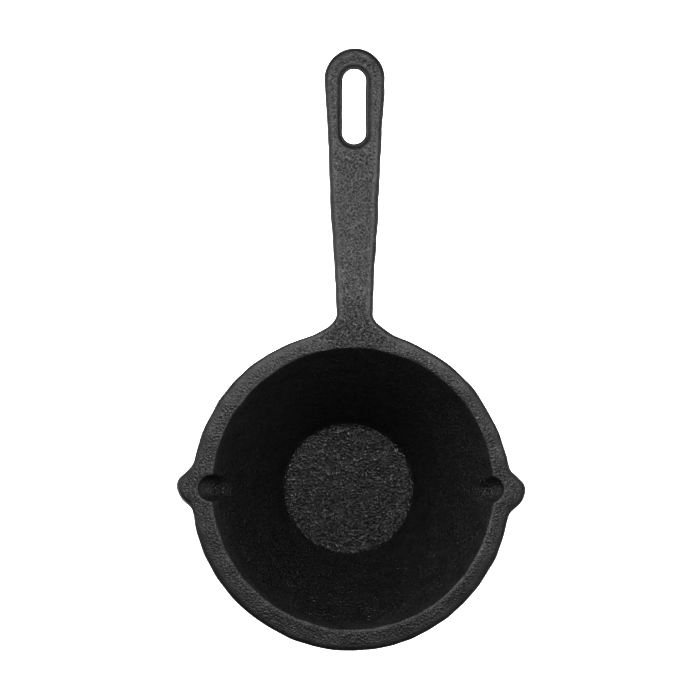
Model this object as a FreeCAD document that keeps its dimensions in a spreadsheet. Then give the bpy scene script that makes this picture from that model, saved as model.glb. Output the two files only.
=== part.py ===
"""Cast iron sauce pot: a deep tapered pot with two pour spouts and a slotted handle.

The pot is one iron casting. It is designed here as one parametric body, and the body is then
divided, face to face, into the eight regions that a cook would name: floor, wall, rim, two pour
spouts, handle root, handle and hanging loop.

Frame, in millimetres: the origin is the centre of the flat base, +Z is up, the handle points
along +Y and the spouts point along +X and -X.
"""

import FreeCAD
import Part
import Sketcher
import math
import os
from FreeCAD import Placement, Rotation, Vector

Y_AXIS = Vector(0, 1, 0)
Z_AXIS = Vector(0, 0, 1)
ORIGIN_POINT = (-1, 1)
START, END, CENTRE = 1, 2, 3
HORIZONTAL_AXIS, VERTICAL_AXIS = -1, -2
LEVEL_TOLERANCE = 1e-4

DRIVING_DIMENSIONS = {
    # The pot.
    "pot_height": 57.0,
    "rim_outer_diameter": 110.4,
    "rim_width": 6.0,
    "floor_diameter": 45.4,
    "floor_thickness": 5.0,
    "wall_thickness": 5.0,
    "base_corner_radius": 4.0,
    "lip_slope_height": 8.0,
    # The flat plate that the rim, the spouts and the handle share.
    "plate_thickness": 7.0,
    "plate_edge_radius": 1.8,
    # The pour spouts.
    "spout_projection": 5.2,
    "spout_tip_radius": 2.2,
    "spout_flank_angle": 48.0,
    "spout_blend_radius": 8.0,
    "spout_keel_depth": 16.0,
    "spout_keel_radius": 4.6,
    "spout_keel_inset": 2.4,
    "spout_keel_burial": 1.0,
    "channel_radius": 4.2,
    "channel_angle": 50.0,
    # The handle.
    "handle_length": 98.6,
    "head_width": 20.7,
    "neck_width": 12.4,
    "root_radius": 12.0,
    "root_length": 11.0,
    "gusset_length": 10.0,
    "gusset_depth": 11.0,
    "gusset_width": 7.0,
    # The hanging slot.
    "slot_length": 26.0,
    "slot_width": 8.0,
    "slot_end_distance": 7.2,
    "slot_chamfer": 1.5,
    "loop_shoulder": 7.0,
}

WALL_OUTSIDE_AT = "mouth_radius - (pot_height - %s) * wall_slope + wall_thickness"

DERIVED_DIMENSIONS = {
    "rim_radius": "rim_outer_diameter / 2",
    "mouth_radius": "rim_radius - rim_width",
    "floor_radius": "floor_diameter / 2",
    "wall_slope": "(mouth_radius - floor_radius) / (pot_height - floor_thickness)",
    "plate_underside": "pot_height - plate_thickness",
    "base_radius": WALL_OUTSIDE_AT % "0",
    "lip_foot_level": "plate_underside - lip_slope_height",
    "lip_foot_radius": WALL_OUTSIDE_AT % "lip_foot_level",
    "spout_reach": "rim_radius + spout_projection",
    "spout_tip_centre": "spout_reach - spout_tip_radius",
    "spout_zone_side": "mouth_radius / 2",
    "keel_top_reach": "spout_reach - spout_keel_inset",
    "keel_foot_level": "plate_underside - spout_keel_depth",
    "keel_foot_reach": WALL_OUTSIDE_AT % "keel_foot_level" + " - spout_keel_burial",
    "channel_start_depth": "(pot_height - floor_thickness) / 2",
    "channel_start_level": "pot_height - channel_start_depth",
    "channel_start_reach": "mouth_radius - channel_start_depth / tan(channel_angle)",
    "handle_reach": "rim_radius + handle_length",
    "head_radius": "head_width / 2",
    "head_centre": "handle_reach - head_radius",
    "root_end": "rim_radius + root_length",
    "gusset_end": "rim_radius + gusset_length",
    "gusset_foot_level": "plate_underside - gusset_depth",
    "gusset_foot_radius": WALL_OUTSIDE_AT % "gusset_foot_level",
    "slot_end_radius": "slot_width / 2",
    "slot_far_centre": "handle_reach - slot_end_distance - slot_end_radius",
    "slot_near_centre": "slot_far_centre - slot_length + slot_width",
    "loop_start": "slot_near_centre - slot_end_radius - loop_shoulder",
    "far_away": "2 * handle_reach",
}

doc = FreeCAD.newDocument("SaucePot")


def make_sheet():
    """Put every dimension in a cell with an alias: the driving ones, then the derived ones."""
    sheet = doc.addObject("Spreadsheet::Sheet", "dims")
    cells = {alias: str(value) for alias, value in DRIVING_DIMENSIONS.items()}
    cells.update({alias: "=" + formula for alias, formula in DERIVED_DIMENSIONS.items()})
    for row, (alias, content) in enumerate(cells.items(), start=1):
        sheet.set("A%d" % row, alias)
        sheet.set("B%d" % row, content)
        sheet.setAlias("B%d" % row, alias)
    doc.recompute()
    return sheet


dims = make_sheet()


def value_of(expression):
    """The present value of an expression on the sheet, to place a sketch's geometry."""
    return float(dims.evalExpression(expression))


def new_body(name):
    body = doc.addObject("PartDesign::Body", name)
    doc.recompute()
    return body


def origin_plane(body, role):
    return next(item for item in body.Origin.OriginFeatures if item.Role == role)


def new_sketch(body, name, role="XY_Plane", level=None):
    """A sketch on one of the body's origin planes, lifted to a level given as an expression."""
    sketch = body.newObject("Sketcher::SketchObject", name)
    sketch.AttachmentSupport = [(origin_plane(body, role), "")]
    sketch.MapMode = "FlatFace"
    if level:
        sketch.setExpression("AttachmentOffset.Base.z", level)
    doc.recompute()
    return sketch


def bind(sketch, constraint, name, expression):
    """Add a named dimensional constraint and tie it to an expression."""
    index = sketch.addConstraint(constraint)
    sketch.renameConstraint(index, name)
    sketch.setExpression("Constraints." + name, expression)


def add_polygon(sketch, corners):
    """A closed outline whose corners are pairs of expressions, each pinned to its own place."""
    points = [Vector(value_of(across), value_of(up), 0) for across, up in corners]
    count = len(points)
    for index in range(count):
        sketch.addGeometry(Part.LineSegment(points[index], points[(index + 1) % count]))
    for index in range(count):
        following = (index + 1) % count
        sketch.addConstraint(Sketcher.Constraint("Coincident", index, END, following, START))
    for index, (across, up) in enumerate(corners):
        pin_point(sketch, (index, START), "corner%d" % index, across, up)


def pin_point(sketch, point, name, across, up):
    """Hold one point of a sketch at a place given by two expressions."""
    for suffix, kind, expression in (("_x", "DistanceX", across), ("_y", "DistanceY", up)):
        constraint = Sketcher.Constraint(kind, *ORIGIN_POINT, *point, value_of(expression))
        bind(sketch, constraint, name + suffix, expression)


def add_lone_feature(body, kind, name, **properties):
    """Add a feature to a body, set its plain properties and make it the tip."""
    feature = body.newObject("PartDesign::" + kind, name)
    for key, value in properties.items():
        setattr(feature, key, value)
    body.Tip = feature
    return feature


# ---------------------------------------------------------------------------------------------
# The pot: one solid of revolution, and the cavity turned out of it.

def add_bowl_outside(body):
    """The outside of the pot as a solid of revolution: base, wall, lip slope and rim."""
    sketch = new_sketch(body, body.Name + "_outline", "XZ_Plane")
    add_polygon(sketch, [
        ("0", "0"),
        ("dims.base_radius", "0"),
        ("dims.lip_foot_radius", "dims.lip_foot_level"),
        ("dims.rim_radius", "dims.plate_underside"),
        ("dims.rim_radius", "dims.pot_height"),
        ("0", "dims.pot_height"),
    ])
    turned = add_lone_feature(body, "Revolution", body.Name + "_turned", Profile=sketch)
    turned.ReferenceAxis = (origin_plane(body, "Z_Axis"), [""])
    turned.Angle = 360
    doc.recompute()
    return turned


def round_base_corner(body):
    """Round the edge where the wall meets the flat base."""
    before = body.Tip
    edges = edges_where(before.Shape, lambda edge: edge_is_level(edge, 0.0))
    corner = add_lone_feature(body, "Fillet", body.Name + "_corner", Base=(before, edges))
    corner.setExpression("Radius", "dims.base_corner_radius")
    doc.recompute()


def cut_cavity(body):
    """Turn the cavity out: a flat round floor and a straight tapered wall."""
    sketch = new_sketch(body, "cavity_outline", "XZ_Plane")
    add_polygon(sketch, [
        ("0", "dims.floor_thickness"),
        ("dims.floor_radius", "dims.floor_thickness"),
        ("dims.mouth_radius", "dims.pot_height"),
        ("0", "dims.pot_height"),
    ])
    cavity = add_lone_feature(body, "Groove", "cavity", Profile=sketch)
    cavity.ReferenceAxis = (origin_plane(body, "Z_Axis"), [""])
    cavity.Angle = 360
    doc.recompute()


def edges_where(shape, wanted):
    """Names of the edges that pass a test."""
    return ["Edge%d" % number for number, edge in enumerate(shape.Edges, 1) if wanted(edge)]


def edge_is_level(edge, level):
    """Whether a whole edge lies at one height."""
    box = edge.BoundBox
    return abs(box.ZMin - level) < LEVEL_TOLERANCE and abs(box.ZMax - level) < LEVEL_TOLERANCE


# ---------------------------------------------------------------------------------------------
# The plate features: spout beak and handle, both padded down from the rim's level.

def pad_plate(body, sketch, name):
    """Pad a plan outline down from the rim's level by the plate's thickness."""
    pad = add_lone_feature(body, "Pad", name, Profile=sketch, Reversed=True)
    pad.setExpression("Length", "dims.plate_thickness")
    doc.recompute()
    return pad


def add_arc(sketch, centre, radius, first, last):
    """Add an arc drawn anticlockwise between two directions, given in degrees."""
    circle = Part.Circle(centre, Z_AXIS, radius)
    return sketch.addGeometry(Part.ArcOfCircle(circle, math.radians(first), math.radians(last)))


def add_rim_guide(sketch):
    """A construction circle that stands for the rim's outer edge."""
    radius = value_of("dims.rim_radius")
    guide = sketch.addGeometry(Part.Circle(Vector(), Z_AXIS, radius), True)
    sketch.addConstraint(Sketcher.Constraint("Coincident", guide, CENTRE, *ORIGIN_POINT))
    bind(sketch, Sketcher.Constraint("Radius", guide, radius), "rim_radius", "dims.rim_radius")
    return guide


def join_smoothly(sketch, joints):
    """Make pairs of end points coincide with a shared tangent."""
    for first, first_end, second, second_end in joints:
        sketch.addConstraint(Sketcher.Constraint("Tangent", first, first_end, second, second_end))


def land_on_rim(sketch, arc, arc_end, guide):
    """End an arc on the rim's outer edge, tangent to it."""
    sketch.addConstraint(Sketcher.Constraint("Tangent", arc, arc_end, guide))


def add_spout_beak(body):
    """The plan of one beak: a blunt tip, two flanks and two hollow blends into the rim."""
    sketch = new_sketch(body, "beak_plan", level="dims.pot_height")
    rim = value_of("dims.rim_radius")
    blend = value_of("dims.spout_blend_radius")
    tip = value_of("dims.spout_tip_radius")
    flank = value_of("dims.spout_flank_angle")
    tip_centre = Vector(value_of("dims.spout_tip_centre"), 0, 0)

    outward = Vector(math.sin(math.radians(flank)), math.cos(math.radians(flank)), 0)
    along = Vector(-outward.y, outward.x, 0)
    offset = tip_centre.dot(outward) + tip + blend
    run = -math.sqrt((rim + blend) ** 2 - offset ** 2)
    blend_centre = outward * offset + along * run
    flank_start = tip_centre + outward * tip
    flank_end = blend_centre - outward * blend
    to_rim = math.degrees(math.atan2(-blend_centre.y, -blend_centre.x))
    to_flank = math.degrees(math.atan2(-outward.y, -outward.x))

    def mirrored(point):
        return Vector(point.x, -point.y, 0)

    guide = add_rim_guide(sketch)
    nose = add_arc(sketch, tip_centre, tip, flank - 90, 90 - flank)
    flanks = [
        sketch.addGeometry(Part.LineSegment(flank_start, flank_end)),
        sketch.addGeometry(Part.LineSegment(mirrored(flank_start), mirrored(flank_end))),
    ]
    blends = [
        add_arc(sketch, blend_centre, blend, to_rim, to_flank),
        add_arc(sketch, mirrored(blend_centre), blend, -to_flank, -to_rim),
    ]
    chord_end = blend_centre * (rim / (rim + blend))
    chord = sketch.addGeometry(Part.LineSegment(chord_end, mirrored(chord_end)))

    join_smoothly(sketch, [
        (nose, END, flanks[0], START),
        (nose, START, flanks[1], START),
        (flanks[0], END, blends[0], END),
        (flanks[1], END, blends[1], START),
    ])
    sketch.addConstraint(Sketcher.Constraint("Coincident", chord, START, blends[0], START))
    sketch.addConstraint(Sketcher.Constraint("Coincident", chord, END, blends[1], END))
    land_on_rim(sketch, blends[0], START, guide)
    land_on_rim(sketch, blends[1], END, guide)
    sketch.addConstraint(Sketcher.Constraint("Equal", blends[0], blends[1]))
    sketch.addConstraint(
        Sketcher.Constraint("Symmetric", nose, START, nose, END, HORIZONTAL_AXIS))
    bind(sketch, Sketcher.Constraint("DistanceX", *ORIGIN_POINT, nose, CENTRE, tip_centre.x),
         "tip_place", "dims.spout_tip_centre")
    bind(sketch, Sketcher.Constraint("Radius", nose, tip), "tip_radius", "dims.spout_tip_radius")
    bind(sketch, Sketcher.Constraint("Radius", blends[0], blend), "blend_radius",
         "dims.spout_blend_radius")
    bind(sketch, Sketcher.Constraint("Angle", flanks[0], START, flanks[1], START,
                                     math.radians(2 * flank)),
         "flank_spread", "2 * dims.spout_flank_angle * 1 deg")
    return pad_plate(body, sketch, "beak")


def add_spout_keel(body):
    """The keel under a beak: it narrows down from the plate until it merges with the wall."""
    sections = [
        ("keel_top", "dims.plate_underside", "dims.keel_top_reach", "dims.spout_keel_radius"),
        ("keel_foot", "dims.keel_foot_level", "dims.keel_foot_reach", "dims.spout_tip_radius"),
    ]
    sketches = []
    for name, level, outermost, radius in sections:
        sketch = new_sketch(body, name, level=level)
        centre = "%s - %s" % (outermost, radius)
        circle = sketch.addGeometry(
            Part.Circle(Vector(value_of(centre), 0, 0), Z_AXIS, value_of(radius)))
        sketch.addConstraint(
            Sketcher.Constraint("PointOnObject", circle, CENTRE, HORIZONTAL_AXIS))
        bind(sketch, Sketcher.Constraint("DistanceX", *ORIGIN_POINT, circle, CENTRE,
                                         value_of(centre)), "place", centre)
        bind(sketch, Sketcher.Constraint("Radius", circle, value_of(radius)), "radius", radius)
        sketches.append(sketch)
    keel = add_lone_feature(body, "AdditiveLoft", "keel", Profile=sketches[0])
    keel.Sections = sketches[1:]
    doc.recompute()
    return keel


def add_pour_channel(body):
    """The round channel that climbs the wall and runs out across the rim into the beak."""
    channel = add_lone_feature(body, "SubtractiveCylinder", "channel")
    channel.setExpression("Radius", "dims.channel_radius")
    channel.setExpression("Height", "2 * dims.spout_reach")
    tilt = Rotation(Y_AXIS, value_of("90 - dims.channel_angle"))
    channel.Placement = Placement(Vector(), tilt)
    channel.setExpression("Placement.Rotation.Angle", "(90 - dims.channel_angle) * 1 deg")
    channel.setExpression("Placement.Base.x", "dims.channel_start_reach")
    channel.setExpression("Placement.Base.z", "dims.channel_start_level")
    doc.recompute()
    return channel


def mirror_to_left(body, features, name):
    """Repeat features of the right side on the left."""
    mirrored = add_lone_feature(body, "Mirrored", name, Originals=features)
    mirrored.MirrorPlane = (origin_plane(body, "YZ_Plane"), [""])
    doc.recompute()


def add_handle(body):
    """The plan of the handle: hollow root blends, straight tapered sides and a round head."""
    sketch = new_sketch(body, "handle_plan", level="dims.pot_height")
    rim = value_of("dims.rim_radius")
    root = value_of("dims.root_radius")
    head = value_of("dims.head_radius")
    neck = value_of("dims.neck_width / 2")
    head_centre = Vector(0, value_of("dims.head_centre"), 0)

    root_centre = Vector(neck + root, 0, 0)
    root_centre.y = math.sqrt((rim + root) ** 2 - root_centre.x ** 2)
    side_start = Vector(neck, root_centre.y, 0)
    side_end = Vector(head, head_centre.y, 0)
    foot = root_centre * (rim / (rim + root))
    to_foot = math.degrees(math.atan2(-root_centre.y, -root_centre.x))

    def mirrored(point):
        return Vector(-point.x, point.y, 0)

    guide = add_rim_guide(sketch)
    cap = add_arc(sketch, head_centre, head, 0, 180)
    sides = [
        sketch.addGeometry(Part.LineSegment(side_start, side_end)),
        sketch.addGeometry(Part.LineSegment(mirrored(side_start), mirrored(side_end))),
    ]
    roots = [
        add_arc(sketch, root_centre, root, -180, to_foot),
        add_arc(sketch, mirrored(root_centre), root, 180 - to_foot, 360),
    ]
    chord = sketch.addGeometry(Part.LineSegment(foot, mirrored(foot)))

    join_smoothly(sketch, [
        (cap, START, sides[0], END),
        (cap, END, sides[1], END),
        (sides[0], START, roots[0], START),
        (sides[1], START, roots[1], END),
    ])
    sketch.addConstraint(Sketcher.Constraint("Coincident", chord, START, roots[0], END))
    sketch.addConstraint(Sketcher.Constraint("Coincident", chord, END, roots[1], START))
    land_on_rim(sketch, roots[0], END, guide)
    land_on_rim(sketch, roots[1], START, guide)
    sketch.addConstraint(Sketcher.Constraint("PointOnObject", cap, CENTRE, VERTICAL_AXIS))
    sketch.addConstraint(
        Sketcher.Constraint("Symmetric", sides[0], START, sides[1], START, VERTICAL_AXIS))
    bind(sketch, Sketcher.Constraint("DistanceY", *ORIGIN_POINT, cap, CENTRE, head_centre.y),
         "head_place", "dims.head_centre")
    bind(sketch, Sketcher.Constraint("Radius", cap, head), "head_radius", "dims.head_radius")
    bind(sketch, Sketcher.Constraint("Radius", roots[0], root), "root_radius",
         "dims.root_radius")
    bind(sketch, Sketcher.Constraint("DistanceX", *ORIGIN_POINT, sides[0], START, neck),
         "neck", "dims.neck_width / 2")
    return pad_plate(body, sketch, "handle_plate")


def add_gusset(body):
    """The web under the handle's root that runs down onto the wall."""
    inner_radius = "dims.gusset_foot_radius - dims.wall_thickness"
    sketch = new_sketch(body, "gusset_outline", "YZ_Plane")
    add_polygon(sketch, [
        (inner_radius, "dims.gusset_foot_level"),
        ("dims.gusset_foot_radius", "dims.gusset_foot_level"),
        ("dims.gusset_end", "dims.plate_underside"),
        (inner_radius, "dims.plate_underside"),
    ])
    gusset = add_lone_feature(body, "Pad", "gusset", Profile=sketch, Midplane=True)
    gusset.setExpression("Length", "dims.gusset_width")
    doc.recompute()


def round_plate_edges(body):
    """Round the upper outer edge that runs all round the rim, the spouts and the handle."""
    before = body.Tip
    top = value_of("dims.pot_height")
    edges = edges_where(before.Shape, lambda edge: edge_is_level(edge, top))
    rounded = add_lone_feature(body, "Fillet", "rounded_top", Base=(before, edges))
    rounded.setExpression("Radius", "dims.plate_edge_radius")
    doc.recompute()


def cut_hanging_slot(body):
    """The long slot through the head, with both of its mouths chamfered."""
    sketch = new_sketch(body, "slot_plan", level="dims.pot_height")
    half = value_of("dims.slot_end_radius")
    centres = ["dims.slot_far_centre", "dims.slot_near_centre"]
    far, near = (value_of(centre) for centre in centres)
    ends = [
        add_arc(sketch, Vector(0, far, 0), half, 0, 180),
        add_arc(sketch, Vector(0, near, 0), half, 180, 360),
    ]
    right = sketch.addGeometry(Part.LineSegment(Vector(half, near, 0), Vector(half, far, 0)))
    left = sketch.addGeometry(Part.LineSegment(Vector(-half, far, 0), Vector(-half, near, 0)))
    join_smoothly(sketch, [
        (ends[0], START, right, END),
        (ends[0], END, left, START),
        (ends[1], START, left, END),
        (ends[1], END, right, START),
    ])
    for arc, name, centre in zip(ends, ("far_end", "near_end"), centres):
        sketch.addConstraint(Sketcher.Constraint("PointOnObject", arc, CENTRE, VERTICAL_AXIS))
        bind(sketch, Sketcher.Constraint("DistanceY", *ORIGIN_POINT, arc, CENTRE,
                                         value_of(centre)), name, centre)
    sketch.addConstraint(Sketcher.Constraint("Equal", ends[0], ends[1]))
    bind(sketch, Sketcher.Constraint("Radius", ends[0], half), "end_radius",
         "dims.slot_end_radius")
    slot = add_lone_feature(body, "Pocket", "slot", Profile=sketch, Type="ThroughAll")
    doc.recompute()

    levels = [value_of("dims.pot_height"), value_of("dims.plate_underside")]
    reach = half + LEVEL_TOLERANCE

    def is_mouth_edge(edge):
        box = edge.BoundBox
        inside = max(-box.XMin, box.XMax) < reach and near - reach < box.YMin
        inside = inside and box.YMax < far + reach
        return inside and any(edge_is_level(edge, level) for level in levels)

    mouth_edges = edges_where(slot.Shape, is_mouth_edge)
    mouths = add_lone_feature(body, "Chamfer", "slot_mouths", Base=(slot, mouth_edges))
    mouths.setExpression("Size", "dims.slot_chamfer")
    doc.recompute()


def make_casting():
    """The whole pot as one casting."""
    body = new_body("casting")
    add_bowl_outside(body)
    round_base_corner(body)
    beak = add_spout_beak(body)
    keel = add_spout_keel(body)
    mirror_to_left(body, [beak, keel], "left_beak")
    add_handle(body)
    round_plate_edges(body)
    add_gusset(body)
    cut_hanging_slot(body)
    cut_cavity(body)
    channel = add_pour_channel(body)
    mirror_to_left(body, [channel], "left_channel")
    return body


# ---------------------------------------------------------------------------------------------
# The regions: each is the part of the casting that lies in one zone.

def make_zone(name, low, high):
    """A box between two corners, each given as three expressions."""
    box = doc.addObject("Part::Box", name)
    for axis, size, start, stop in zip("xyz", ("Length", "Width", "Height"), low, high):
        box.setExpression("Placement.Base." + axis, start)
        box.setExpression(size, "(%s) - (%s)" % (stop, start))
    return box


def make_region(label, kind, whole, zone):
    """A named region: what a zone shares with a solid, or what is left beyond it."""
    region = doc.addObject("Part::" + kind, label)
    region.Base = whole
    region.Tool = zone
    region.Label = label
    return region


def make_regions(casting):
    """Divide the casting at its natural boundaries, with no gap and no overlap."""
    bowl_blank = new_body("bowl_blank")
    add_bowl_outside(bowl_blank)
    doc.recompute()

    bowl = make_region("bowl", "Common", casting, bowl_blank)
    fittings = make_region("fittings", "Cut", casting, bowl_blank)

    far, near = "dims.far_away", "-dims.far_away"
    above = "dims.pot_height + dims.plate_thickness"
    pot_zones = {
        "bowl_floor": ("-dims.floor_thickness", "dims.floor_thickness"),
        "bowl_wall": ("dims.floor_thickness", "dims.plate_underside"),
        "rim": ("dims.plate_underside", above),
    }
    regions = []
    for label, (bottom, top) in pot_zones.items():
        zone = make_zone(label + "_zone", (near, near, bottom), (far, far, top))
        regions.append(make_region(label, "Common", bowl, zone))

    side = "dims.spout_zone_side"
    fitting_zones = {
        "left_pour_spout": ((near, near), ("-" + side, side)),
        "right_pour_spout": ((side, near), (far, side)),
        "handle_root": (("-" + side, side), (side, "dims.root_end")),
        "handle": ((near, "dims.root_end"), (far, "dims.loop_start")),
        "hanging_loop": ((near, "dims.loop_start"), (far, far)),
    }
    for label, (low, high) in fitting_zones.items():
        zone = make_zone(label + "_zone", (*low, "0"), (*high, above))
        regions.append(make_region(label, "Common", fittings, zone))
    doc.recompute()
    return regions


def check_and_write(regions):
    """Stop on any fault, then write each region to a STEP file named after it."""
    for item in doc.Objects:
        if "Invalid" in item.State or "Error" in item.State:
            raise RuntimeError("%s did not compute: %s" % (item.Name, item.State))
    os.makedirs("parts", exist_ok=True)
    for region in regions:
        shape = region.Shape
        if shape.isNull() or not shape.isValid() or len(shape.Solids) != 1:
            raise RuntimeError("%s is not one valid solid" % region.Label)
        shape.exportStep("parts/%s.step" % region.Label)
        print("%-18s %9.1f mm3" % (region.Label, shape.Volume))


casting = make_casting()
check_and_write(make_regions(casting))
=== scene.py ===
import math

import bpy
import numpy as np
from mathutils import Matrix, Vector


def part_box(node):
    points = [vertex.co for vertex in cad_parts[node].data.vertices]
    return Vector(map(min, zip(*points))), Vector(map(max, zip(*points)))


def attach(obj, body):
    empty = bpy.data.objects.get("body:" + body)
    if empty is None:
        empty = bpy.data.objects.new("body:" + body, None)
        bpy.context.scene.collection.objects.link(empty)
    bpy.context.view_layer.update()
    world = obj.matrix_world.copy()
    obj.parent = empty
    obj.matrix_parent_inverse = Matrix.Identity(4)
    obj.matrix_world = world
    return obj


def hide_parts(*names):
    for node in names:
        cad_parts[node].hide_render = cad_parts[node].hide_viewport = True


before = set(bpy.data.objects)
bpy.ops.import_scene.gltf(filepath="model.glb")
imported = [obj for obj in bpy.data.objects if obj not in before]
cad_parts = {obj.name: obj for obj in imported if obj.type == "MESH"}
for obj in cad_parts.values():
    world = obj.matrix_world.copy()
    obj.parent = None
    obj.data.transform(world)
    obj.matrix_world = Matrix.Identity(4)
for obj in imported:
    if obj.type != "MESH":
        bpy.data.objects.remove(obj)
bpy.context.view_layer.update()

# A cast iron sauce pot: one continuous sand casting with a deep tapered bowl, two pour spouts and
# a slotted handle. The casting's surface is described by signed distances in millimetres (negative
# inside the iron), turned into one closed mesh, and given a seasoned sand-cast finish.

MM = 0.001


# ---------------------------------------------------------------------------------------------
# Sizes in millimetres, from the CAD nodes where a node gives them.

def node_box(node):
    """A CAD node's lowest and highest corners in millimetres."""
    low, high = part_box(node)
    return np.array(low) / MM, np.array(high) / MM


rim_low, rim_high = node_box("rim")
loop_low, loop_high = node_box("hanging_loop")
spout_high = node_box("right_pour_spout")[1]
floor_high = node_box("bowl_floor")[1]

# The bowl. The rim, the spouts and the handle share one flat plate from UNDERSIDE to TOP.
TOP = rim_high[2]
UNDERSIDE = rim_low[2]
RIM_RADIUS = -rim_low[1]
RIM_WIDTH = 6.0
MOUTH_RADIUS = RIM_RADIUS - RIM_WIDTH
FLOOR_LEVEL = floor_high[2]
FLOOR_RADIUS = 22.7
WALL_THICKNESS = 5.0
WALL_SLOPE = (MOUTH_RADIUS - FLOOR_RADIUS) / (TOP - FLOOR_LEVEL)
LIP_SLOPE_HEIGHT = 8.0

# How the rim and the cavity stray from true. The rim is squeezed across the spouts and sags away
# from the handle, and the cavity stands a little off centre.
RIM_OVAL = 1.018
RIM_SAG = 0.3
CORE_SHIFT = (0.7, 0.5)

# The bowl's edge radii and fillets.
BASE_CORNER = 4.0
LIP_BLEND = 5.0
OUTER_EDGE = 1.5
LOWER_EDGE = 1.6
TOP_EDGE = 0.3
MOUTH_EDGE = 0.5
FLOOR_EDGE = 0.7
PLATE_BLEND = 1.0
# The bowl's own rim stays this far inside the plate's edge, so that the two don't coincide.
BAND_TUCK = 1.0

# The pour spouts. A drift is how far a spout stands along Y, keyed by its side: -1 left, 1 right.
SPOUT_REACH = spout_high[0]
RIGHT_SPOUT_EXTRA = 0.5
SPOUT_CORNER = 1.6
SPOUT_NOSE_WIDTH = 4.8
SPOUT_NOSE_TILT = math.radians(8)
SPOUT_FLANK = math.radians(43)
SPOUT_BLEND = 2.5
SPOUT_LENGTH = 12.0
SPOUT_DRIFT = {-1: 1.2, 1: -0.5}
KEEL_RADIUS = 4.6
KEEL_FOOT_RADIUS = 2.2
KEEL_DEPTH = 16.0
KEEL_INSET = 2.4
KEEL_BURIAL = 1.0
KEEL_BLEND = 3.0

# The pour channels: (distance down the channel's axis from the mouth's edge, radius) along each.
CHANNEL_ANGLE = math.radians(50)
CHANNEL_STATIONS = ((-6.0, 1.5), (0.8, 4.5), (15.0, 3.2))
CHANNEL_DRIFT = {-1: 0.8, 1: 0.1}
CHANNEL_EDGE = 0.5

# The handle, which stands a little to the right of the middle. Its neck width is measured over
# the gusset's end. The root's hollow fillets reach up the handle and spread along the rim.
HANDLE_REACH = loop_high[1]
HEAD_EXTRA = 0.2
HEAD_RADIUS = (loop_high[0] - loop_low[0]) / 2 + HEAD_EXTRA
NECK_WIDTH = 13.0
HANDLE_DRIFT = 1.3
ROOT_REACH = 6.8
ROOT_SPREAD = 15.0
GUSSET_LENGTH = 10.0
GUSSET_DEPTH = 11.0
GUSSET_WIDTH = 7.0
GUSSET_BURIAL = {"plate": 2.0, "wall": 4.0}
GUSSET_EDGE = 1.5
GUSSET_END_EDGE = 1.0
GUSSET_BLEND = 3.0

# The hanging slot, with a thin ridge of flash half way down.
SLOT_LENGTH = 26.0
SLOT_WIDTH = 8.0
SLOT_END_DISTANCE = 7.2
SLOT_ROLL = 2.2
FLASH_HEIGHT = 0.5
FLASH_CREST = 0.2
FLASH_HALF_THICKNESS = 0.7

# The grid that the surface is read from: where its stretches change, and the step in each.
GRID_MARGIN = 2.0
MIDDLE_HALF_WIDTH = 12
SPOUT_STRETCH_START = 46
HANDLE_STRETCH_START = 48
FINE_DEPTH = 4
PLAIN_STEP = 0.9
SPOUT_STEP = 0.7
HANDLE_STEP = {"across": 0.6, "along": 0.65}
HEIGHT_STEP = {"bowl": 1.1, "plate": 0.5}

# The casting's unevenness: (height, wavelength, seed) of each kind.
RIPPLE = (0.07, 9.0, 3)
WARP = (0.10, 34.0, 8)
BASE_FADE = 1.0

# How coarse the skin is, from 0 to 1, and where it changes.
EDGE_GRAIN = 0.2
FACE_GRAIN = 0.37
ROOT_GRAIN = 0.45
ROOT_GRAIN_REACH = 13
ROOT_GRAIN_SQUASH = 1.6
SMOOTH_EDGE = (1.2, 3.0)
INSIDE_START = (2, 7)
INSIDE_MARGIN = 2
# How far the lighter mouth edge reaches: partly wear, partly a painted highlight.
WEAR_AND_HIGHLIGHT_WIDTH = 0.5


# ---------------------------------------------------------------------------------------------
# Signed distance tools. Each works on arrays that broadcast together.

def join_round(a, b, radius):
    """Join two solids with a hollow fillet between them."""
    reach = np.hypot(np.maximum(radius - a, 0), np.maximum(radius - b, 0))
    return np.maximum(radius, np.minimum(a, b)) - reach


def join_oval(a, b, reach_a, reach_b):
    """Join two solids with a hollow oval fillet that reaches further over one than the other."""
    u = np.maximum(1 - a / reach_a, 0)
    v = np.maximum(1 - b / reach_b, 0)
    size = (reach_a * u * u + reach_b * v * v) / np.maximum(u * u + v * v, 1e-6)
    return np.where(u + v > 0, size * (1 - np.hypot(u, v)), np.minimum(a, b))


def cut_round(a, b, radius):
    """Keep what two solids share, with a rounded edge between them."""
    reach = np.hypot(np.maximum(radius + a, 0), np.maximum(radius + b, 0))
    return np.minimum(-radius, np.maximum(a, b)) + reach


def smooth_step(value, low, high):
    """Zero up to the low value, one from the high value on, and a smooth rise between."""
    share = np.clip((value - low) / (high - low), 0, 1)
    return share * share * (3 - 2 * share)


def tapered_capsule(point, start, end, start_radius, end_radius):
    """A round bar between two centres whose radius changes evenly along it."""
    axis = np.subtract(end, start)
    offset = [p - s for p, s in zip(point, start)]
    along = sum(o * a for o, a in zip(offset, axis)) / np.dot(axis, axis)
    along = np.clip(along, 0, 1)
    across = [o - along * a for o, a in zip(offset, axis)]
    distance = np.sqrt(sum(c * c for c in across))
    return distance - (start_radius + along * (end_radius - start_radius))


# ---------------------------------------------------------------------------------------------
# The casting's parts as signed distances.

def wall_outside_radius(z):
    """The radius of the wall's outside at a height."""
    return MOUTH_RADIUS - (TOP - z) * WALL_SLOPE + WALL_THICKNESS


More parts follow.
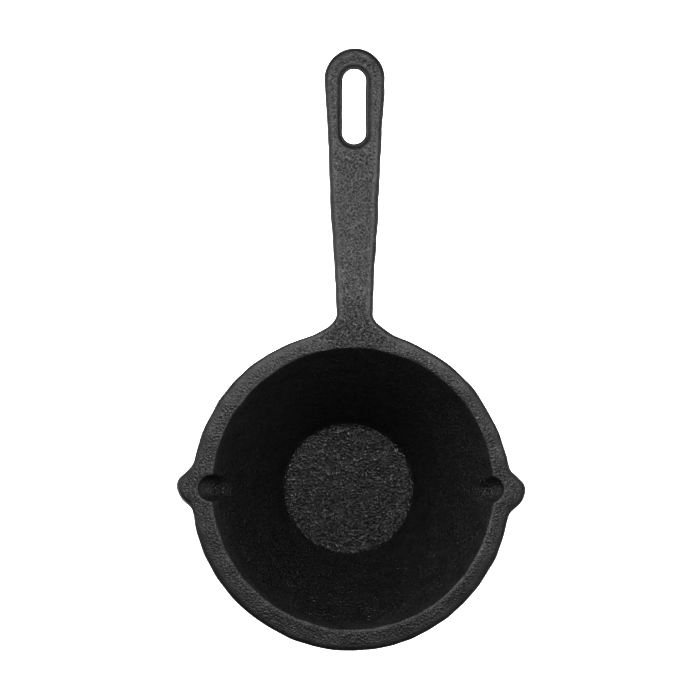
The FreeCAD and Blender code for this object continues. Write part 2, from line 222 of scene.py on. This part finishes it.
def handle_plan(x, y):
    """The handle seen from above: straight sides that touch a round head."""
    head_y = HANDLE_REACH - HEAD_RADIUS
    neck_y = RIM_RADIUS + GUSSET_LENGTH
    taper = (HEAD_RADIUS - NECK_WIDTH / 2) / (head_y - neck_y)
    start_y = MOUTH_RADIUS
    start_radius = NECK_WIDTH / 2 - taper * (neck_y - start_y)
    start, head = (HANDLE_DRIFT, start_y), (HANDLE_DRIFT, head_y)
    return tapered_capsule((x, y), start, head, start_radius, HEAD_RADIUS)


def beak_plan(x, y, side):
    """One spout's beak seen from above: two flanks and a nose turned a little off square."""
    out = side * x - SPOUT_REACH - max(side, 0) * RIGHT_SPOUT_EXTRA
    up = y - SPOUT_DRIFT[side]
    half = SPOUT_NOSE_WIDTH / 2
    nose = out * math.cos(SPOUT_NOSE_TILT) - up * math.sin(SPOUT_NOSE_TILT)
    flanks = (np.abs(up) - half) * math.cos(SPOUT_FLANK) + out * math.sin(SPOUT_FLANK)
    beak = cut_round(nose, flanks, SPOUT_CORNER)
    return np.maximum(beak, -out - SPOUT_LENGTH)


def plan_outline(x, y):
    """The outline of rim, handle and spouts seen from above."""
    outline = np.hypot(x * RIM_OVAL, y + RIM_SAG) - RIM_RADIUS - RIM_SAG
    outline = join_oval(outline, handle_plan(x, y), ROOT_REACH, ROOT_SPREAD)
    for side in SPOUT_DRIFT:
        outline = join_round(outline, beak_plan(x, y, side), SPOUT_BLEND)
    return outline


def bowl_outside(radius, z):
    """The outside of the bowl: base, tapered wall and the slope up to the rim."""
    slant = math.hypot(1, WALL_SLOPE)
    wall = (radius - wall_outside_radius(z)) / slant
    wall = cut_round(wall, -z, BASE_CORNER)
    foot_radius = wall_outside_radius(UNDERSIDE - LIP_SLOPE_HEIGHT)
    band_radius = RIM_RADIUS - BAND_TUCK
    run = band_radius - foot_radius
    lip = (radius - band_radius) * LIP_SLOPE_HEIGHT + (UNDERSIDE - z) * run
    # The slope stops half way down, inside the bowl: its cone would come out through the base.
    lip = np.maximum(lip / math.hypot(LIP_SLOPE_HEIGHT, run), TOP / 2 - z)
    rim = cut_round(radius - band_radius, lip, LOWER_EDGE)
    return cut_round(join_round(wall, rim, LIP_BLEND), z - TOP, OUTER_EDGE)


def cavity(x, y, z):
    """The space inside the bowl, a little off centre as its sand core settled."""
    radius = np.hypot(x - CORE_SHIFT[0], y - CORE_SHIFT[1])
    slant = math.hypot(1, WALL_SLOPE)
    inside = (radius - MOUTH_RADIUS + (TOP - z) * WALL_SLOPE) / slant
    return cut_round(inside, FLOOR_LEVEL - z, FLOOR_EDGE)


def keel(x, y, z):
    """The tapering keel under each beak, down to the wall."""
    foot_z = UNDERSIDE - KEEL_DEPTH
    foot_reach = wall_outside_radius(foot_z) - KEEL_FOOT_RADIUS - KEEL_BURIAL
    top = (SPOUT_REACH - KEEL_RADIUS - KEEL_INSET, 0, UNDERSIDE + KEEL_BURIAL)
    foot = (foot_reach, 0, foot_z)
    return tapered_capsule((np.abs(x), y, z), top, foot, KEEL_RADIUS, KEEL_FOOT_RADIUS)


def pour_channel(x, y, z):
    """The round channel that climbs the inside of the wall and flares out over the rim."""
    outward, upward = math.cos(CHANNEL_ANGLE), math.sin(CHANNEL_ANGLE)
    point = (np.abs(x), y - np.where(x < 0, CHANNEL_DRIFT[-1], CHANNEL_DRIFT[1]), z)
    centres = [(MOUTH_RADIUS - t * outward, 0, TOP - t * upward) for t, _ in CHANNEL_STATIONS]
    radii = [radius for _, radius in CHANNEL_STATIONS]
    upper = tapered_capsule(point, centres[0], centres[1], radii[0], radii[1])
    lower = tapered_capsule(point, centres[1], centres[2], radii[1], radii[2])
    return np.minimum(upper, lower)


def gusset(x, y, z):
    """The web under the handle's root."""
    foot = wall_outside_radius(UNDERSIDE - GUSSET_DEPTH)
    end = RIM_RADIUS + GUSSET_LENGTH
    run = end - foot
    slope = ((y - end) * GUSSET_DEPTH + (UNDERSIDE - z) * run) / math.hypot(GUSSET_DEPTH, run)
    sides = np.abs(x - HANDLE_DRIFT) - GUSSET_WIDTH / 2
    web = cut_round(slope, sides, GUSSET_EDGE)
    web = cut_round(web, z - (UNDERSIDE + GUSSET_BURIAL["plate"]), GUSSET_END_EDGE)
    return cut_round(web, foot - GUSSET_BURIAL["wall"] - y, GUSSET_END_EDGE)


def hanging_slot(x, y, z):
    """The slot: a long hole with round ends and a thin ridge of flash half way down."""
    half = SLOT_WIDTH / 2
    far = HANDLE_REACH - SLOT_END_DISTANCE - half
    near = far - SLOT_LENGTH + SLOT_WIDTH
    from_middle = np.abs(z - (TOP + UNDERSIDE) / 2)
    relief = FLASH_HEIGHT * smooth_step(from_middle, FLASH_CREST, FLASH_HALF_THICKNESS)
    return np.hypot(x - HANDLE_DRIFT, y - np.clip(y, near, far)) - half - relief


def casting(x, y, z):
    """The whole casting."""
    radius = np.hypot(x, y)
    plate = cut_round(plan_outline(x, y), z - TOP, OUTER_EDGE)
    plate = cut_round(plate, UNDERSIDE - z, LOWER_EDGE)
    iron = join_round(bowl_outside(radius, z), plate, PLATE_BLEND)
    iron = join_round(iron, keel(x, y, z), KEEL_BLEND)
    iron = join_round(iron, gusset(x, y, z), GUSSET_BLEND)
    iron = cut_round(iron, z - TOP, TOP_EDGE)
    iron = cut_round(iron, -cavity(x, y, z), MOUTH_EDGE)
    iron = cut_round(iron, -pour_channel(x, y, z), CHANNEL_EDGE)
    return cut_round(iron, -hanging_slot(x, y, z), SLOT_ROLL)


# ---------------------------------------------------------------------------------------------
# From signed distance to mesh.

CORNERS = [(i, j, k) for i in (0, 1) for j in (0, 1) for k in (0, 1)]


def graded_axis(start, stretches):
    """Grid positions along one axis: each stretch runs to its end in steps of its own size."""
    positions = [np.array([start])]
    for end, step in stretches:
        first = positions[-1][-1]
        count = max(1, round((end - first) / step))
        positions.append(np.linspace(first, end, count + 1)[1:])
    return np.concatenate(positions)


def grid_axes():
    """The grid's three axes: fine steps at the spouts, the handle and the plate."""
    side = SPOUT_REACH + GRID_MARGIN
    x_axis = graded_axis(-side, [
        (-SPOUT_STRETCH_START, SPOUT_STEP),
        (-MIDDLE_HALF_WIDTH, PLAIN_STEP),
        (MIDDLE_HALF_WIDTH, HANDLE_STEP["across"]),
        (SPOUT_STRETCH_START, PLAIN_STEP),
        (side, SPOUT_STEP),
    ])
    y_axis = graded_axis(-RIM_RADIUS - GRID_MARGIN, [
        (-MIDDLE_HALF_WIDTH, PLAIN_STEP),
        (MIDDLE_HALF_WIDTH, SPOUT_STEP),
        (HANDLE_STRETCH_START, PLAIN_STEP),
        (HANDLE_REACH + GRID_MARGIN, HANDLE_STEP["along"]),
    ])
    z_axis = graded_axis(-GRID_MARGIN, [
        (UNDERSIDE - FINE_DEPTH, HEIGHT_STEP["bowl"]),
        (TOP + GRID_MARGIN, HEIGHT_STEP["plate"]),
    ])
    return x_axis, y_axis, z_axis


def cell_slices(corner, shape):
    """The slices that pick one corner of every grid cell."""
    return tuple(slice(offset, size - 1 + offset) for offset, size in zip(corner, shape))


def cells_at_surface(inside):
    """The grid cells that the surface crosses, and every cell's number, -1 where it doesn't."""
    count = sum(inside[cell_slices(c, inside.shape)].astype(np.int8) for c in CORNERS)
    cells = np.argwhere((count > 0) & (count < len(CORNERS)))
    number = np.full(count.shape, -1, dtype=np.int64)
    number[tuple(cells.T)] = np.arange(len(cells))
    return cells, number


def net_points(values, axes, cells):
    """One vertex in each cell: the mean of the places where the surface cuts its edges."""
    corner_values = {c: values[tuple((cells + c).T)] for c in CORNERS}
    corner_points = {}
    for corner in CORNERS:
        index = cells + corner
        corner_points[corner] = np.stack([axes[a][index[:, a]] for a in range(3)], axis=1)
    total = np.zeros((len(cells), 3))
    hits = np.zeros(len(cells))
    for first in CORNERS:
        for axis in range(3):
            if first[axis]:
                continue
            second = tuple(1 if a == axis else first[a] for a in range(3))
            start, end = corner_values[first], corner_values[second]
            crossed = (start < 0) != (end < 0)
            share = np.where(crossed, start / np.where(crossed, start - end, 1), 0)
            edge = corner_points[second] - corner_points[first]
            total += (corner_points[first] + edge * share[:, None]) * crossed[:, None]
            hits += crossed
    return total / hits[:, None]


def net_quads(inside, number):
    """One quad across each grid edge that leaves or enters the solid, facing outwards."""
    quads = []
    for axis in range(3):
        u, v = (axis + 1) % 3, (axis + 2) % 3
        low = [slice(1, -1)] * 3
        low[axis] = slice(0, -1)
        high = list(low)
        high[axis] = slice(1, None)
        start, end = inside[tuple(low)], inside[tuple(high)]
        edges = np.argwhere(start != end)
        leaving = start[tuple(edges.T)]
        edges[:, u] += 1
        edges[:, v] += 1
        ring = []
        for step_u, step_v in ((-1, -1), (0, -1), (0, 0), (-1, 0)):
            cell = edges.copy()
            cell[:, u] += step_u
            cell[:, v] += step_v
            ring.append(number[tuple(cell.T)])
        ring = np.stack(ring, axis=1)
        quads.append(np.where(leaving[:, None], ring, ring[:, ::-1]))
    return np.concatenate(quads)


def surface_net(values, axes):
    """A closed quad mesh near the zero surface."""
    inside = values < 0
    cells, number = cells_at_surface(inside)
    return net_points(values, axes, cells), net_quads(inside, number)


def slope_at(points, step=0.02):
    """The direction in which the signed distance grows fastest at each point."""
    columns = []
    for axis in range(3):
        ahead, behind = points.copy(), points.copy()
        ahead[:, axis] += step
        behind[:, axis] -= step
        columns.append((casting(*ahead.T) - casting(*behind.T)) / (2 * step))
    return np.stack(columns, axis=1)


def settle(points, rounds=2, flattest=0.25, furthest=0.4):
    """Move points on to the zero surface, never far in one round."""
    for _ in range(rounds):
        slope = slope_at(points)
        steepness = np.maximum((slope * slope).sum(axis=1), flattest)
        shift = np.clip(casting(*points.T) / steepness, -furthest, furthest)
        points = points - slope * shift[:, None]
    return points


def uneven(points, height, wavelength, seed, waves=24, spread=(0.7, 1.5)):
    """A smooth random height for each point, from waves in random directions."""
    rng = np.random.default_rng(seed)
    total = np.zeros(len(points))
    for _ in range(waves):
        direction = rng.normal(size=3)
        direction /= np.linalg.norm(direction)
        length = wavelength * rng.uniform(*spread)
        total += np.sin(points @ direction * (2 * math.pi / length) + rng.uniform(0, 2 * math.pi))
    return height * (total / math.sqrt(waves / 2))


def roughen(points):
    """Move points in and out by the casting's unevenness, but keep the base flat."""
    slope = slope_at(points)
    normal = slope / np.linalg.norm(slope, axis=1)[:, None]
    height = uneven(points, *RIPPLE) + uneven(points, *WARP)
    above_base = np.clip(points[:, 2] / BASE_FADE, 0, 1)
    return points + normal * (height * above_base)[:, None]


def grain_amount(points):
    """How coarse the skin is: smooth on rolled edges, coarsest inside the bowl and at the root."""
    x, y, z = points.T
    inward = np.minimum(-plan_outline(x, y), hanging_slot(x, y, z))
    flat = smooth_step(inward, *SMOOTH_EDGE)
    from_root = np.hypot(x - HANDLE_DRIFT, (y - RIM_RADIUS) * ROOT_GRAIN_SQUASH)
    root = np.exp(-(from_root / ROOT_GRAIN_REACH) ** 2)
    return np.maximum(EDGE_GRAIN + FACE_GRAIN * flat + ROOT_GRAIN * root * flat,
                      inside_amount(points))


def inside_amount(points):
    """One on the inside of the bowl, falling to nothing at the rim."""
    x, y, z = points.T
    inward = MOUTH_RADIUS + INSIDE_MARGIN - np.hypot(x, y)
    return smooth_step(TOP - z, *INSIDE_START) * smooth_step(inward, 0, INSIDE_MARGIN)


def wear_and_highlight_amount(points):
    """Where the skin is lighter along the mouth's edge: partly rubbed iron, partly a painted
    highlight.
    """
    x, y, z = points.T
    from_edge = np.hypot(np.minimum(cavity(x, y, z), pour_channel(x, y, z)), z - TOP)
    return np.exp(-(from_edge / WEAR_AND_HIGHLIGHT_WIDTH) ** 2)


def build_casting():
    """The one closed mesh of the whole pot, with the amounts that its material reads."""
    axes = grid_axes()
    x = axes[0][:, None, None].astype(np.float32)
    y = axes[1][None, :, None].astype(np.float32)
    z = axes[2][None, None, :].astype(np.float32)
    points, quads = surface_net(casting(x, y, z), axes)
    points = roughen(settle(points))

    mesh = bpy.data.meshes.new("pot_casting")
    mesh.from_pydata((points * MM).tolist(), [], quads.tolist())
    mesh.validate()
    amounts = {"grain": grain_amount, "inside": inside_amount, "wear_and_highlight": wear_and_highlight_amount}
    for name, amount in amounts.items():
        layer = mesh.attributes.new(name, "FLOAT", "POINT")
        layer.data.foreach_set("value", amount(points).astype(np.float32))
    mesh.polygons.foreach_set("use_smooth", np.ones(len(mesh.polygons), dtype=bool))
    mesh.update()
    pot = bpy.data.objects.new("pot_casting", mesh)
    bpy.context.scene.collection.objects.link(pot)
    return pot


# ---------------------------------------------------------------------------------------------
# Materials. Their sizes are in metres.

SAND_SIZE = 0.00075
SAND_RELIEF = 0.00085
LUMP_SIZE = 0.0040
LUMP_RELIEF = 0.00030
PATCH_SIZE = 0.006
PATCH_SHARE = 0.35
# The sand noise's middle value, which stands in for it where the skin is smooth.
EVEN_SAND = 0.43

# The speckle's two tones: partly the iron's own grain, partly painted shade in the pits and
# painted glints on the raised grains.
PIT_BLACK_AND_SHADE = (0.001, 0.001, 0.001)
GRAIN_BLACK_AND_GLINT = (0.030, 0.030, 0.030)
# Lighter iron along the mouth's edge: partly rubbed wear, partly a painted highlight of the lit
# edge.
RUBBED_IRON_AND_HIGHLIGHT = (0.045, 0.045, 0.045)
MATTE, SATIN = 0.70, 0.38
INSIDE_SHEEN = -0.16
# The values between which the speckle (partly grain tone, partly painted glints and painted
# shade), the lighter mouth edge (partly wear, partly a painted highlight) and shine go from none
# to full.
SPECKLE_AND_GLINT_RANGE = (0.50, 0.86)
WEAR_AND_HIGHLIGHT_RANGE = (0.1, 0.5)
SHINE_RANGE = (0.3, 0.7)


class Nodes:
    """Short calls for building a material's nodes."""

    def __init__(self, name):
        self.material = bpy.data.materials.new(name)
        self.material.use_nodes = True
        self.tree = self.material.node_tree
        self.surface = self.tree.nodes["Principled BSDF"]
        self.place = self.tree.nodes.new("ShaderNodeTexCoord").outputs["Object"]

    def link(self, source, target):
        self.tree.links.new(source, target)

    def noise(self, size, detail, roughness):
        """Cloudy noise whose features are about this many metres across."""
        node = self.tree.nodes.new("ShaderNodeTexNoise")
        node.inputs["Scale"].default_value = 1 / size
        node.inputs["Detail"].default_value = detail
        node.inputs["Roughness"].default_value = roughness
        self.link(self.place, node.inputs["Vector"])
        return node.outputs["Fac"]

    def math(self, operation, *values):
        """A math node whose inputs are other nodes' outputs or plain numbers."""
        node = self.tree.nodes.new("ShaderNodeMath")
        node.operation = operation
        for socket, value in zip(node.inputs, values):
            if isinstance(value, (int, float)):
                socket.default_value = value
            else:
                self.link(value, socket)
        return node.outputs["Value"]

    def add(self, first, second, share):
        """The first value plus a share of the second."""
        return self.math("MULTIPLY_ADD", second, share, first)

    def times(self, first, second):
        """The product of two values."""
        return self.math("MULTIPLY", first, second)

    def spread(self, value, old_range, new_range):
        """Stretch one range on to another, and stop at its ends."""
        node = self.tree.nodes.new("ShaderNodeMapRange")
        for side, number in zip(("From Min", "From Max"), old_range):
            node.inputs[side].default_value = number
        for side, number in zip(("To Min", "To Max"), new_range):
            node.inputs[side].default_value = number
        self.link(value, node.inputs["Value"])
        return node.outputs["Result"]

    def mix(self, factor, first, second):
        """Go from the first colour to the second as the factor goes from 0 to 1."""
        node = self.tree.nodes.new("ShaderNodeMixRGB")
        self.link(factor, node.inputs["Fac"])
        for name, colour in (("Color1", first), ("Color2", second)):
            if isinstance(colour, tuple):
                node.inputs[name].default_value = (*colour, 1)
            else:
                self.link(colour, node.inputs[name])
        return node.outputs["Color"]

    def attribute(self, name):
        """An amount stored on the mesh's points."""
        node = self.tree.nodes.new("ShaderNodeAttribute")
        node.attribute_name = name
        return node.outputs["Fac"]

    def bump(self, height, distance, strength, below=None):
        """A normal tilted by a height, on top of another one if there is one below."""
        node = self.tree.nodes.new("ShaderNodeBump")
        self.link(strength, node.inputs["Strength"])
        node.inputs["Distance"].default_value = distance
        self.link(height, node.inputs["Height"])
        if below:
            self.link(below, node.inputs["Normal"])
        return node.outputs["Normal"]


def cast_iron():
    """Seasoned sand-cast iron: matte near-black with a fine sandy skin. Its speckle is partly
    grain tone, partly painted glints on the grains and painted shade in the pits, and its mouth
    edge is lighter, partly from wear, partly as a painted highlight.
    """
    nodes = Nodes("seasoned_cast_iron")
    surface = nodes.surface
    grain = nodes.attribute("grain")
    sand = nodes.noise(SAND_SIZE, detail=1.0, roughness=0.5)
    lumps = nodes.noise(LUMP_SIZE, detail=3.0, roughness=0.55)
    patches = nodes.noise(PATCH_SIZE, detail=5.0, roughness=0.65)

    # The sand fades to its middle value as the grain goes to zero.
    smooth_part = nodes.math("MULTIPLY_ADD", grain, -EVEN_SAND, EVEN_SAND)
    skin_sand = nodes.add(smooth_part, nodes.times(sand, grain), 1.0)
    # The same sand noise raises the bump, so the raised grains are painted lighter and the pits
    # darker: partly grain tone, partly painted glints and painted shade.
    speckle_and_painted_glint = nodes.spread(nodes.add(skin_sand, patches, PATCH_SHARE), SPECKLE_AND_GLINT_RANGE, (0, 1))
    skin = nodes.mix(speckle_and_painted_glint, PIT_BLACK_AND_SHADE, GRAIN_BLACK_AND_GLINT)
    # The mouth's edge is painted lighter all round: partly rubbed wear, partly a painted
    # highlight.
    wear_and_highlight = nodes.spread(nodes.times(nodes.attribute("wear_and_highlight"), patches), WEAR_AND_HIGHLIGHT_RANGE, (0, 1))
    nodes.link(nodes.mix(wear_and_highlight, skin, RUBBED_IRON_AND_HIGHLIGHT), surface.inputs["Base Color"])

    shine = nodes.spread(skin_sand, SHINE_RANGE, (MATTE, SATIN))
    shine = nodes.add(shine, nodes.attribute("inside"), INSIDE_SHEEN)
    nodes.link(shine, surface.inputs["Roughness"])
    surface.inputs["Metallic"].default_value = 0.0

    normal = nodes.bump(lumps, LUMP_RELIEF, grain)
    normal = nodes.bump(sand, SAND_RELIEF, grain, normal)
    nodes.link(normal, surface.inputs["Normal"])
    return nodes.material


def studio_floor():
    """A pale matt sweep that glows a little, as a light table does."""
    nodes = Nodes("pale_floor")
    nodes.surface.inputs["Base Color"].default_value = (0.8, 0.8, 0.8, 1)
    nodes.surface.inputs["Roughness"].default_value = 0.9
    nodes.surface.inputs["Emission Color"].default_value = (1, 1, 1, 1)
    nodes.surface.inputs["Emission Strength"].default_value = 1.0
    return nodes.material


# ---------------------------------------------------------------------------------------------
# The studio, in metres and watts.

FLOOR_HALF_SIDE = 3.0
FLOOR_DROP = 0.0003

SOFTBOXES = {
    # name: (place, side, power)
    "overhead": ((0.16, 0.05, 1.10), 0.30, 2.4),
    "key_over_handle": ((0.0, 0.10, 0.25), 0.12, 1.35),
    "left_side": ((-0.45, 0.03, 0.26), 0.30, 2.3),
    "right_side": ((0.45, 0.03, 0.26), 0.30, 0.4),
    "right_front": ((0.35, -0.26, 0.26), 0.30, 0.9),
    "low_left": ((-0.40, 0.10, 0.075), 0.06, 0.35),
    "low_right": ((0.40, 0.10, 0.075), 0.06, 0.75),
    "low_back": ((-0.10, 0.45, 0.085), 0.06, 0.5),
}
LIGHT_AIM = Vector((0, 0.03, 0.05))

CAMERA_HEIGHT = 4.0
CAMERA_OFFSET = (-0.118, -0.024)
CAMERA_AIM = Vector((-0.0003, 0.0488, TOP * MM))
PICTURE_WIDTH = 0.2434
SENSOR_WIDTH = 36.0
# Below one, this deepens the greys of the iron and leaves the white floor white.
VIEW_GAMMA = 0.6


def add_floor():
    """A wide flat floor just under the base."""
    mesh = bpy.data.meshes.new("studio_floor")
    signs = ((-1, -1), (1, -1), (1, 1), (-1, 1))
    corners = [(x * FLOOR_HALF_SIDE, y * FLOOR_HALF_SIDE, -FLOOR_DROP) for x, y in signs]
    mesh.from_pydata(corners, [], [(0, 1, 2, 3)])
    mesh.materials.append(studio_floor())
    floor = bpy.data.objects.new("studio_floor", mesh)
    bpy.context.scene.collection.objects.link(floor)


def add_softbox(name, place, side, power):
    """A square light that faces the pot."""
    light = bpy.data.lights.new(name, "AREA")
    light.size = side
    light.energy = power
    lamp = bpy.data.objects.new(name, light)
    lamp.location = place
    lamp.rotation_euler = (LIGHT_AIM - Vector(place)).to_track_quat("-Z", "Y").to_euler()
    bpy.context.scene.collection.objects.link(lamp)


def light_studio():
    """The softboxes in a black room, and the view's tone curve."""
    scene = bpy.context.scene
    scene.view_settings.view_transform = "Standard"
    scene.view_settings.gamma = VIEW_GAMMA
    world = bpy.data.worlds.new("studio")
    world.use_nodes = True
    world.node_tree.nodes["Background"].inputs["Strength"].default_value = 0.0
    scene.world = world
    for name, (place, side, power) in SOFTBOXES.items():
        add_softbox(name, place, side, power)


def add_camera():
    """Almost straight down on the pot from far away, the handle pointing up the picture."""
    offset_x, offset_y = CAMERA_OFFSET
    camera = bpy.data.cameras.new("camera")
    camera.sensor_width = SENSOR_WIDTH
    camera.lens = SENSOR_WIDTH * CAMERA_HEIGHT / PICTURE_WIDTH
    camera.clip_end = 20
    holder = bpy.data.objects.new("camera", camera)
    holder.location = CAMERA_AIM + Vector((offset_x, offset_y, CAMERA_HEIGHT))
    tilt_x, tilt_y = math.atan2(-offset_y, CAMERA_HEIGHT), math.atan2(offset_x, CAMERA_HEIGHT)
    holder.rotation_euler = (tilt_x, tilt_y, 0)
    bpy.context.scene.collection.objects.link(holder)
    bpy.context.scene.camera = holder


pot = build_casting()
pot.data.materials.append(cast_iron())
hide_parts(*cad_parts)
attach(pot, "root")
add_floor()
light_studio()
add_camera()
